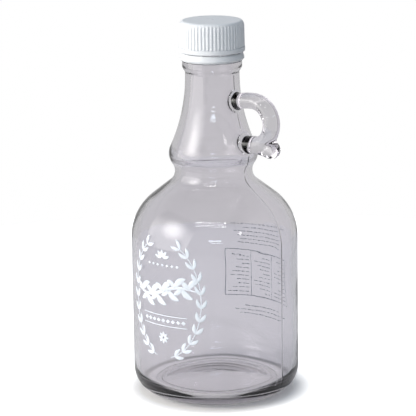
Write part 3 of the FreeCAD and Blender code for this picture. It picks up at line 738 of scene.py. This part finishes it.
# the middle of the foot from below: a shallow part of a sphere, whose own middle is pushUp above the foot
def underSurface(angles):
    s = jugShape
    dish = (s["footInner"] ** 2 + s["pushUp"] ** 2) / (2 * s["pushUp"])
    r = np.concatenate([np.linspace(2.0, s["footInner"], 15), [s["footInner"] + 0.15]])
    z = np.maximum(s["pushUp"] - dish + np.sqrt(dish ** 2 - r ** 2), 0)
    return turned(np.column_stack([r, z]), angles)


# the inside: domed floor, inner heel, wall and flow up to the mouth, with slow waves
def innerSurface():
    s = jugShape
    dome = (0, s["pushUp"] + s["baseThickness"] - s["floorDome"])
    wallR = s["bodyRadius"] - s["bodyWall"]
    heelX = wallR - s["innerHeel"]
    heelZ = dome[1] + math.sqrt((s["floorDome"] + s["innerHeel"]) ** 2 - heelX ** 2)
    toHeel = math.atan2(heelZ - dome[1], heelX)
    floor = arcPoints(dome, s["floorDome"], quarter - 2.0 / s["floorDome"], toHeel, 2.0)
    heel = arcPoints((heelX, heelZ), s["innerHeel"], toHeel + math.pi, 2 * math.pi, 0.9)[1:]
    wall = linePoints((wallR, heelZ), (wallR, s["shoulderStart"]), 3.0)[1:]
    flow = flowPoints(s["bodyWall"], s["neckWall"], (1.2, 0.8, 1.3))[0][1:]
    bore = s["neckRadius"] - s["neckWall"]
    mouth = linePoints((bore, flow[-1, 1] + 1.5), (bore, glassHigh[2]), 3.0)
    rows = np.vstack([floor, heel, wall, flow, mouth])
    angles = evenAngles(s["innerColumns"])
    points = turned(rows, angles)
    z = rows[:, 1:]
    sway = np.sin(2 * angles + z / 21) + 0.7 * np.sin(3 * angles - z / 13 + 2)
    sway = s["innerSway"] * (sway + 0.5 * np.sin(5 * angles + z / 8))
    sway = sway * ramp(z, neckZ + 4, -50) * ramp(z, 8, 14)
    points[..., :2] *= (1 + sway / np.maximum(rows[:, :1], 1))[..., None]
    middle = np.array([0, 0, dome[1] + s["floorDome"]])
    return points, angles, middle


# outside, handle, foot, inside and rim as one closed skin
def makeGlass():
    angles = columnAngles()
    rows, holes = outerRows()
    skin = turned(rows, angles)
    under = underSurface(angles)
    outer = [gridSurface(skin, holes)] + makeHandle(skin, holes)
    outer = [(finishOuter(points), quads, triangles) for points, quads, triangles in outer]
    foot = footSurface(angles, under[-1], outer[0][0][:len(angles)])
    inside, innerAngles, middle = innerSurface()
    rim = zipSurface(outer[0][0][-len(angles):], angles, inside[-1], innerAngles)
    base = [gridSurface(under), poleSurface(under[0], np.array([0, 0, jugShape["pushUp"]]))]
    cavity = [gridSurface(inside), poleSurface(inside[0], middle)]
    glass = makePiece("jugGlass", outer + foot + base + [rim] + cavity, glassMaterial)
    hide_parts("jug_glass")


makeGlass()


capShape = {
    "inner": 14.8,
    "core": 16.25,          # radius of the skirt between the ribs
    "topRadius": 16.1,
    "height": 15.8,
    "thickTop": 1.5,
    "edgeRounding": 1.7,
    "footRadius": 16.85,
    "footHeight": 2.4,
    "footRounding": 0.6,
    "ribs": 55,
    "ribDepth": 0.42,
    "ribFade": 1.3,         # how softly the ribs end at the top
    "nubRadius": 0.8,
    "nubHeight": 0.2,
    "perRib": 12,
    "plainColumns": 96,
}


# skirt radius = drafted core + rib depth * rib wave * window; the wave is a cosine clipped flat at its top
# and bottom, and the window is 1 from the foot to the edge and fades there
def makeCap():
    s = capShape
    foot, r = s["footRadius"], s["footRounding"]
    edge = (s["topRadius"] - s["edgeRounding"], s["height"] - s["edgeRounding"])
    rows = np.vstack([
        [[foot - r - 0.3, 0]],
        arcPoints((foot - r, r), r, -quarter, 0, 0.2),
        linePoints((foot, r + 0.3), (foot, s["footHeight"] - 0.3), 0.6),
        arcPoints((foot - 0.22, s["footHeight"] - 0.22), 0.22, 0, quarter, 0.12),
        [[s["core"] + 0.02, s["footHeight"] + 0.02]],
        linePoints((s["core"], s["footHeight"] + 0.12), (s["topRadius"], edge[1]), 0.9),
        arcPoints(edge, s["edgeRounding"], 0, quarter, 0.2)[1:],
        linePoints((edge[0] - 0.3, s["height"]), (edge[0] - 1.6, s["height"]), 0.7),
    ])
    angles = evenAngles(s["ribs"] * s["perRib"])
    wave = np.clip(0.5 + 0.95 * np.cos(s["ribs"] * angles), 0, 1)
    wave = wave * wave * (3 - 2 * wave)
    z = rows[:, 1]
    window = ramp(z, s["footHeight"] + 0.05, 0.05) * ramp(z, edge[1] + 0.7, -s["ribFade"])
    window = window * (rows[:, 0] > edge[0])
    skirt = turned(rows, angles, s["ribDepth"] * window[:, None] * wave)
    plain = evenAngles(s["plainColumns"])
    top = s["height"]
    nub = s["nubRadius"]
    disc = np.array([
        [edge[0] - 2.0, top], [8.0, top], [3.0, top], [nub + 0.35, top],
        [nub + 0.08, top + 0.02], [nub, top + 0.1], [nub - 0.1, top + s["nubHeight"]],
    ])
    face = turned(disc, plain)
    ceiling = s["height"] - s["thickTop"]
    hollow = turned(np.array([[s["inner"], 0], [s["inner"], 5.0], [s["inner"], ceiling - 0.3],
                              [s["inner"] - 0.3, ceiling], [6.0, ceiling]]), plain)
    surfaces = [
        gridSurface(skirt),
        zipSurface(skirt[-1], angles, face[0], plain),
        gridSurface(face),
        poleSurface(face[-1], np.array([0, 0, top + s["nubHeight"]])),
        zipSurface(skirt[0], angles, hollow[0], plain),
        gridSurface(hollow),
        poleSurface(hollow[-1], np.array([0, 0, ceiling])),
    ]
    cap = makePiece("screwCap", surfaces, capMaterial, capBottom)
    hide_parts("screw_cap")


bandShape = {
    "inner": 14.55,
    "outer": 15.65,
    "flare": 16.5,
    "edge": 1.2,            # height of the widest line above the foot
    "height": 4.1,
    "hookDepth": 0.85,
    "hookHeight": 1.2,
    "rounding": 0.25,
    "bridges": 10,
    "bridgeWidth": 0.8,
    "columns": 240,
}


# a closed section turned about the axis, each corner cut by a short soft facet, and small bridges on top
# that hold the band to the cap
def makeBand():
    s = bandShape
    corners = np.array([
        (s["outer"], s["height"]), (s["inner"], s["height"]), (s["inner"], s["hookHeight"]),
        (s["inner"] - s["hookDepth"], s["hookHeight"]), (s["inner"] - s["hookDepth"], 0),
        (s["outer"] - 0.1, 0), (s["flare"], s["edge"]),
    ])
    back, ahead = [s["rounding"] * unit(np.roll(corners, way, axis=0) - corners) for way in (1, -1)]
    section = corners[:, None] + np.stack([back, (back + ahead) * 0.22, ahead], axis=1)
    section = section.reshape(-1, 2)
    angles = evenAngles(s["columns"])
    ring = turned(np.vstack([section, section[:1]]), angles)
    surfaces = [gridSurface(ring)]
    toCap = capBottom - bandBottom
    r = np.array([s["inner"] + 0.15, s["outer"] - 0.1])[[0, 1, 1, 0]]
    aside = s["bridgeWidth"] / 2 / s["outer"] * np.array([-1, -1, 1, 1])
    for turn in evenAngles(s["bridges"]):
        ends = [roundPoints(r, turn + aside, z) for z in (s["height"] - 0.3, toCap - 0.001)]
        surfaces += tubeSurfaces(np.stack(ends))
    band = makePiece("tamperBand", surfaces, bandMaterial, bandBottom)
    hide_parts("tamper_band")


makeCap()
makeBand()


printShape = {
    "rise": 0.045,          # how far the enamel stands off the glass
    "sink": 0.05,
    "across": 5,            # points across a stroke
    "step": 1.0,            # mm between the points along a straight stroke
}
frontPrint = {
    "centre": -90,          # degrees round the axis
    "middle": (0, 57.5),    # mm across and up
    "wreath": (21.5, 31.0),
    "stemEnds": (-78, 62),  # degrees round the wreath
    "stemWidth": 0.45,
    "leafEnds": (-72, 60),
    "leaves": 11,
    "leafLength": 5.4,
    "leafWidth": 1.9,
    "leafLean": 0.62,       # radians off the stem
    "sprigHalf": 19.5,
    "sprigUp": 4.0,
    "sprigTilt": 0.06,
    "sprigWave": 2.2,
    "sprigBend": 6.2,       # mm along the sprig for each radian of its wave
    "sprigWidth": (0.35, 1.5),
    "bigLeafEnds": (-15.5, 15.0),
    "bigLeaves": 9,
    "bigLeaf": 8.2,
    "bigLeafWidth": 3.3,
    "rules": (-8.8, -14.2),     # the two lines under the sprig
    "ruleHalf": 14,
    "ruleWidth": 0.4,
    "lowDiamonds": {"up": -11.5, "half": 12, "count": 9, "size": 1.25},
    "highDiamonds": {"up": 17.5, "half": 9, "count": 7, "size": 0.9},
    "lowRosette": {"up": -20.5, "first": 0, "turn": 45, "count": 8, "gap": 0.5, "leaf": (2.7, 1.25)},
    "highRosette": {"up": 21.0, "first": 18, "turn": 36, "count": 5, "gap": 0.6, "leaf": (4.0, 1.7)},
}
backPrint = {
    "centre": 90,
    "half": 23.0,
    "low": 38.5,
    "high": 63.5,
    "line": 0.34,
    "lineGap": 2.2,
    "linesAbove": 6,
    "linesBelow": 3,
    "word": (1.6, 4.6),     # shortest and longest dash in the ruled lines
    "space": 0.8,
    "cellEdge": 1.4,        # from the panel's upright lines to the first dash
    "gapAbove": 4.5,
    "gapBelow": 5.5,
    "reach": (16.5, 3.5),   # half the width of the lines outside the panel, and how much it wanders
}


# a stroke of enamel on the round wall: points across its width at each step of its path, on an outer and
# an inner skin; path is mm across and up, width its full width at each point
def stroke(path, width, centre):
    path = np.asarray(path, float)
    width = np.broadcast_to(np.asarray(width, float), len(path))
    along = unit(np.gradient(path, axis=0))
    side = np.column_stack([-along[:, 1], along[:, 0]])
    share = np.linspace(-0.5, 0.5, printShape["across"])
    flat = path[:, None] + side[:, None] * share[None, :, None] * width[:, None, None]
    wall = jugShape["bodyRadius"]
    angle = math.radians(centre) + flat[..., 0] / wall
    reaches = (wall + printShape["rise"], wall - printShape["sink"])
    skins = [roundPoints(r, angle, flat[..., 1]) for r in reaches]
    loop = np.concatenate([skins[0], skins[1][:, ::-1]], axis=1)
    return tubeSurfaces(loop)


def straightStroke(start, end, width, centre):
    return stroke(linePoints(start, end, printShape["step"]), width, centre)


# a leaf: a straight or slightly bent stroke whose width swells as the sine of its length
def leafStroke(root, heading, length, width, centre, bend=0.0):
    share = np.linspace(0.004, 1, 13)   # off the root, so that no two leaves share a point
    turn = heading + bend * (share - 0.5)
    path = np.array(root) + length * np.column_stack([share * np.cos(turn), share * np.sin(turn)])
    return stroke(path, width * np.sin(math.pi * (0.03 + 0.94 * share)) ** 0.9, centre)


# a level stroke whose width falls evenly from its middle to both ends
def diamondStroke(middle, size, centre):
    share = np.linspace(-1, 1, 9)
    path = np.array(middle) + np.column_stack([share * size, 0 * share])
    return stroke(path, 1.7 * size * (1.02 - np.abs(share)), centre)


def diamondRow(row):
    x0, z0 = frontPrint["middle"]
    strokes = []
    for x in np.linspace(-row["half"], row["half"], row["count"]):
        strokes += diamondStroke((x0 + x, z0 + row["up"]), row["size"], frontPrint["centre"])
    return strokes


# leaves that point outwards round a middle, starting a gap away from it
def rosette(row):
    x0, z0 = frontPrint["middle"]
    gap = row["gap"]
    strokes = []
    for heading in np.radians(row["first"] + row["turn"] * np.arange(row["count"])):
        root = (x0 + gap * math.cos(heading), z0 + row["up"] + gap * math.sin(heading))
        strokes += leafStroke(root, heading, *row["leaf"], frontPrint["centre"])
    return strokes


# two leafy branches round an oval, a large sprig across the middle, and rows of small shapes
def frontStrokes():
    f = frontPrint
    at = f["centre"]
    x0, z0 = f["middle"]
    a, b = f["wreath"]
    stemAngles = np.linspace(*np.radians(f["stemEnds"]), 70)
    leafAngles = np.linspace(*np.radians(f["leafEnds"]), f["leaves"])
    strokes = []
    for side in (-1, 1):
        stem = np.column_stack([x0 + side * a * np.cos(stemAngles), z0 + b * np.sin(stemAngles)])
        strokes += stroke(stem, f["stemWidth"], at)
        for angle in leafAngles:
            root = (x0 + side * a * math.cos(angle), z0 + b * math.sin(angle))
            ahead = math.atan2(b * math.cos(angle), -side * a * math.sin(angle))
            for lean in (-f["leafLean"], f["leafLean"]):
                strokes += leafStroke(root, ahead + lean, f["leafLength"], f["leafWidth"], at, -0.5 * lean)

    def sprigPoint(x):
        rise = f["sprigUp"] + f["sprigWave"] * np.sin(x / f["sprigBend"]) + f["sprigTilt"] * x
        return np.stack([x0 + x, z0 + rise], axis=-1)

    across = np.linspace(-f["sprigHalf"], f["sprigHalf"], 90)
    thin, more = f["sprigWidth"]
    swell = more * (1.05 - np.abs(across / f["sprigHalf"]) ** 2) + thin
    strokes += stroke(sprigPoint(across), swell, at)
    for number, x in enumerate(np.linspace(*f["bigLeafEnds"], f["bigLeaves"])):
        up = 1 if number % 2 == 0 else -1
        root = sprigPoint(x)
        strokes += leafStroke(root, up * 0.95, f["bigLeaf"], f["bigLeafWidth"], at, -0.5 * up)
        strokes += leafStroke(root, up * 2.25, f["bigLeaf"] * 0.7, f["bigLeafWidth"] * 0.8, at, 0.4 * up)
    strokes += diamondRow(f["lowDiamonds"])
    for up in f["rules"]:
        ends = [(x0 + side * f["ruleHalf"], z0 + up) for side in (-1, 1)]
        strokes += straightStroke(*ends, f["ruleWidth"], at)
    strokes += rosette(f["lowRosette"])
    strokes += diamondRow(f["highDiamonds"])
    strokes += rosette(f["highRosette"])
    return strokes


# a row of short dashes of uneven length between two places across
def dashes(left, right, z, count):
    at, (shortest, longest) = backPrint["centre"], backPrint["word"]
    strokes = []
    while left < right - shortest:
        length = shortest + (longest - shortest) * (0.5 + 0.5 * math.sin(7.3 * left + 3.1 * z + count))
        end = min(left + length, right)
        strokes += straightStroke((left, z), (end, z), backPrint["line"], at)
        left = end + backPrint["space"]
    return strokes


# a ruled panel of dashed lines, with more such lines above and below it
def backStrokes():
    p = backPrint
    at, half, gap = p["centre"], p["half"], p["lineGap"]
    strokes = []
    frameLine = p["line"] * 1.3
    wide = half + frameLine / 2
    for z in (p["low"], p["high"]):
        strokes += straightStroke((-wide, z), (wide, z), frameLine, at)
    for x in (-half, half):
        strokes += straightStroke((x, p["low"]), (x, p["high"]), frameLine, at)
    for x in (-half / 3, half / 3):
        strokes += straightStroke((x, p["low"]), (x, p["high"]), p["line"] * 0.8, at)
    for number, z in enumerate(np.arange(p["low"] + gap, p["high"] - gap / 2, gap)):
        for left in (-half, -half / 3, half / 3):
            length = half * 0.55 * (0.75 + 0.25 * math.sin(5 * number + left))
            start = left + p["cellEdge"]
            strokes += dashes(start, start + length, z, number)
    above = p["high"] + p["gapAbove"] + gap * np.arange(p["linesAbove"])
    below = p["low"] - p["gapBelow"] - gap * np.arange(p["linesBelow"])
    for z in np.concatenate([above, below]):
        reach = p["reach"][0] + p["reach"][1] * math.sin(1.3 * z)
        strokes += dashes(-reach, reach, z, 0)
    return strokes


makePiece("frontPrint", frontStrokes(), printMaterial)
makePiece("backPrint", backStrokes(), printMaterial)


studio = {
    "lampAim": 110,         # mm, the height that every lamp points at
    "seen": 1.0,            # the background as the camera sees it
    "throughGlass": 0.60,   # and as glass shows it, a step down, so that the glass reads on white
    "floorRadius": 380,     # mm
    "floorDrop": -0.1,      # mm, so that floor and foot don't share a plane
    "floorColour": (0.955, 0.927, 0.89),
    "floorInGlass": (0.50, 0.48, 0.47),  # the same as glass shows it
    "floorGlowPaintedShade": ((39, 54), (0.05, 0.90)),   # mm from the axis where the floor's glow rises from and to, and how bright; it is kept low by the jug as a painted shade round its foot
    "paintedLightUnder": ((36, 41), (0.46, 0.0)),    # the same for what glass shows, under the jug: a painted light under its middle that fades to a painted shadow under the foot
    "glowBesideShadeRing": ((41, 46), (0.0, 0.29)),   # and beside it, where it stays dark just past the foot to finish that painted shadow ring
    "worldLight": 0.37,     # what the world gives to matt surfaces
    "worldLean": (0.75, 0.6),   # how much more of it comes from the left and from above
    "worldColour": (0.74, 0.85, 1.0),
    "ceiling": (0.55, 0.9, 0.45),   # how far up the dark over the set starts and is full, and what it keeps
}


# 1 for rays off and through glass, 0 for the rest
def glassRay(tree, path):
    return mathNode(tree, "MAXIMUM", path["Is Glossy Ray"], path["Is Transmission Ray"])


# a strength of one value for rays from the camera, another for rays off and through glass, 0 for the rest
def seenStrength(tree, direct, throughGlass):
    path = addNode(tree, "LightPath").outputs
    straight = mathNode(tree, "MULTIPLY", path["Is Camera Ray"], direct)
    dimmed = mathNode(tree, "MULTIPLY", glassRay(tree, path), throughGlass)
    unscattered = mathNode(tree, "LESS_THAN", path["Diffuse Depth"], 0.5)
    return mathNode(tree, "MULTIPLY", mathNode(tree, "MAXIMUM", straight, dimmed), unscattered)


# goes smoothly between two results while the value goes between two places
def smoothRise(tree, value, places, results):
    given = dict(zip(("From Min", "From Max", "To Min", "To Max"), (*places, *results)))
    given["Value"] = value
    return addNode(tree, "MapRange", given, interpolation_type="SMOOTHSTEP").outputs["Result"]


# one flat face, with a new material on it
def flatFace(name, corners, materialName):
    mesh = bpy.data.meshes.new(name)
    mesh.from_pydata(corners, [], [tuple(range(len(corners)))])
    face = bpy.data.objects.new(name, mesh)
    linkObject(face)
    material, tree, shader = newMaterial(materialName)
    mesh.materials.append(material)
    return face, tree, shader


def makeFloor():
    rim = roundPoints(studio["floorRadius"], evenAngles(64), studio["floorDrop"]) * mm
    floor, tree, shader = flatFace("studioFloor", rim.tolist(), "floorPaper")
    place = addNode(tree, "TexCoord").outputs["Object"]
    away = addNode(tree, "VectorMath", {0: place}, operation="LENGTH").outputs["Value"]
    radius = mathNode(tree, "DIVIDE", away, mm)
    # painted shade: the glow the camera sees is dim round the jug's foot and bright away from it
    glowPaintedShade, under, beside = [
        smoothRise(tree, radius, *studio[part]) for part in ("floorGlowPaintedShade", "paintedLightUnder", "glowBesideShadeRing")
    ]
    colour = addNode(tree, "Mix", {
        "Factor": glassRay(tree, addNode(tree, "LightPath").outputs),
        "A": (*studio["floorColour"], 1),
        "B": (*studio["floorInGlass"], 1),
    }, data_type="RGBA")
    setInputs(tree, shader, {
        "Base Color": colour.outputs["Result"],
        "Roughness": 0.9,
        "Specular IOR Level": 0.0,
        "Emission Color": (1, 1, 1, 1),
        # glass rays see a painted light under the jug's middle and a painted shadow ring under its foot
        "Emission Strength": seenStrength(tree, glowPaintedShade, mathNode(tree, "ADD", under, beside)),
    })


def makeWorld():
    world = bpy.data.worlds.new("studioWorld")
    bpy.context.scene.world = world
    world.use_nodes = True
    tree = world.node_tree
    light = tree.nodes["Background"]
    towards = addNode(tree, "TexCoord").outputs["Generated"]
    sideLean, topLean = studio["worldLean"]
    leanWay = awayAt(-90, 0) * sideLean + Vector((0, 0, topLean))
    lean = addNode(tree, "VectorMath", {0: towards, 1: leanWay}, operation="DOT_PRODUCT").outputs["Value"]
    leaned = mathNode(tree, "MULTIPLY", mathNode(tree, "ADD", lean, 1.0), studio["worldLight"])
    setInputs(tree, light, {"Color": (*studio["worldColour"], 1), "Strength": leaned})
    up = addNode(tree, "SeparateXYZ", {0: towards}).outputs["Z"]
    start, full, kept = studio["ceiling"]
    glassWhite = studio["throughGlass"]
    ceiling = smoothRise(tree, up, (start, full), (glassWhite, glassWhite * kept))
    strength = seenStrength(tree, studio["seen"], ceiling)
    white = addNode(tree, "Background", {"Color": (1, 1, 1, 1), "Strength": strength})
    isSeen = mathNode(tree, "GREATER_THAN", strength, 0.001)
    mix = addNode(tree, "MixShader", {"Fac": isSeen, 1: light.outputs[0], 2: white.outputs[0]})
    setInputs(tree, tree.nodes["World Output"], {"Surface": mix.outputs[0]})


softBox = {
    "turn": -71, "rise": 22, "distance": 900, "width": 1250, "height": 1150,
    "colour": (1.0, 0.985, 0.96),
    "even": 2.5,            # the light of the whole card, but for its top
    "fall": (-0.1, 0.75),   # where that starts to fade and is gone, as shares of half the height
    "throughGlass": 0.65,   # the share of it that glass lets through, so that its mirror image is brighter
    "strength": 6.5,        # what its bright oval adds
    "oval": (0.12, 0.15, 0.75),  # its middle, across and up, and its size, as shares of half the card
}
# turn and rise are in degrees right of and above the camera's level, sizes in mm and power in watts
lamps = {
    "topStripHigh": {"turn": -7, "rise": 56, "distance": 1000, "width": 700, "height": 13, "power": 0.6,
                     "colour": (1, 1, 1)},
    "topStripLow": {"turn": -7, "rise": 49, "distance": 1000, "width": 700, "height": 13, "power": 0.6,
                    "colour": (1, 1, 1)},
    "frontPaneHigh": {"turn": 0, "rise": 16.6, "distance": 1400, "width": 420, "height": 76, "power": 0.6,
                      "colour": (0.78, 0.9, 1)},
    "frontPaneLow": {"turn": 2, "rise": 11.8, "distance": 1400, "width": 420, "height": 18, "power": 0.22,
                     "colour": (0.85, 0.93, 1)},
    "sidePane": {"turn": 40, "rise": 28, "distance": 1200, "width": 70, "height": 90, "power": 0.2,
                 "colour": (1, 0.99, 0.97)},
}


# a lamp's place and its turn, towards a point at half the jug's height
def lampPlace(look):
    away = awayAt(look["turn"], look["rise"])
    place = Vector((0, 0, studio["lampAim"])) + away * look["distance"]
    return place * mm, away.to_track_quat("Z", "Y").to_euler()


def makeLamp(name, look):
    data = bpy.data.lights.new(name, "AREA")
    data.shape = "RECTANGLE"
    data.size = look["width"] * mm
    data.size_y = look["height"] * mm
    data.energy = look["power"]
    data.color = look["colour"]
    lamp = bpy.data.objects.new(name, data)
    lamp.location, lamp.rotation_euler = lampPlace(look)
    linkObject(lamp)


# a glowing card: an even light, and an oval on it that fades as (1 - distance squared) cubed to its edge
def makeSoftBox():
    look = softBox
    x, y = look["width"] / 2 * mm, look["height"] / 2 * mm
    corners = [(-x, -y, 0), (x, -y, 0), (x, y, 0), (-x, y, 0)]
    card, tree, shader = flatFace("softBox", corners, "softBoxGlow")
    card.location, card.rotation_euler = lampPlace(look)
    tree.nodes.remove(shader)
    place = addNode(tree, "TexCoord").outputs["Object"]
    across, up, share = look["oval"]
    scaled = addNode(tree, "Mapping", {
        "Vector": place,
        "Scale": (1 / x / share, 1 / y / share, 1),
        "Location": (-across / share, -up / share, 0),
    }).outputs["Vector"]
    size = addNode(tree, "VectorMath", {0: scaled}, operation="LENGTH").outputs["Value"]
    fade = mathNode(tree, "SUBTRACT", 1.0, mathNode(tree, "POWER", size, 2.0))
    fade = mathNode(tree, "POWER", mathNode(tree, "MAXIMUM", fade, 0.0), 3.0)
    oval = mathNode(tree, "MULTIPLY", fade, look["strength"])
    height = addNode(tree, "SeparateXYZ", {0: place}).outputs["Y"]
    even = smoothRise(tree, height, [y * part for part in look["fall"]], (look["even"], 0))
    path = addNode(tree, "LightPath").outputs
    taken = mathNode(tree, "MULTIPLY", path["Is Transmission Ray"], 1 - look["throughGlass"])
    kept = mathNode(tree, "SUBTRACT", 1.0, taken)
    strength = mathNode(tree, "MULTIPLY", mathNode(tree, "ADD", oval, even), kept)
    glow = addNode(tree, "Emission", {"Color": (*look["colour"], 1), "Strength": strength})
    clear = addNode(tree, "BsdfTransparent")
    mix = addNode(tree, "MixShader", {"Fac": path["Is Camera Ray"], 1: glow.outputs[0], 2: clear.outputs[0]})
    setInputs(tree, tree.nodes["Material Output"], {"Surface": mix.outputs[0]})


makeFloor()
makeWorld()
makeSoftBox()
for name, look in lamps.items():
    makeLamp(name, look)
bpy.context.scene.view_settings.view_transform = "Standard"
print("studio made")
